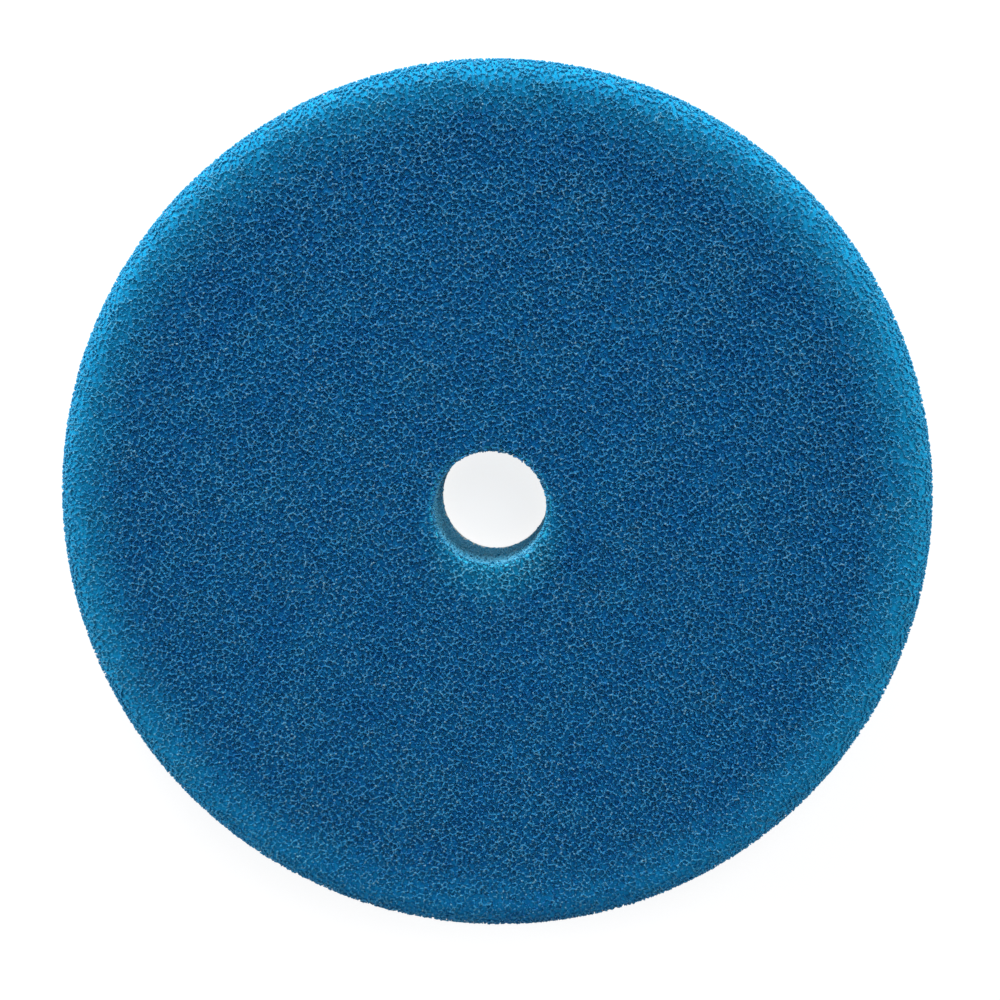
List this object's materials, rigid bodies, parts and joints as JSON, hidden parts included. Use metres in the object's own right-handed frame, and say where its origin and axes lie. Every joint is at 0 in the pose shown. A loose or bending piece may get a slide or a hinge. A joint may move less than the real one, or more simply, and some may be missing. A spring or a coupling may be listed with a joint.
{
  "type": "polishing pad",
  "caption": "Round open-cell foam polishing pad with a tapered side, a centre hole and a hook-and-loop backing, for a random-orbit car polisher.",
  "frame": {"origin": "centre of the pad's back, on the plane of the loop tips that the pad lies on and that its backing plate meets", "axes": "+Z along the pad's axis from the backing towards the working face; X and Y are any two square directions across the pad, which is round"},
  "size_m": [0.18, 0.18, 0.025],
  "materials": {
    "foam": "matt open-cell polyurethane foam",
    "film": "matt hot-melt film",
    "cloth": "matt warp-knit nylon ground",
    "pile": "soft nylon loops with a slight sheen"
  },
  "bodies": {
    "root": {"foam_body": "foam", "bond_film": "film", "loop_cloth": "cloth", "loop_pile": "pile"}
  },
  "joints": []
}
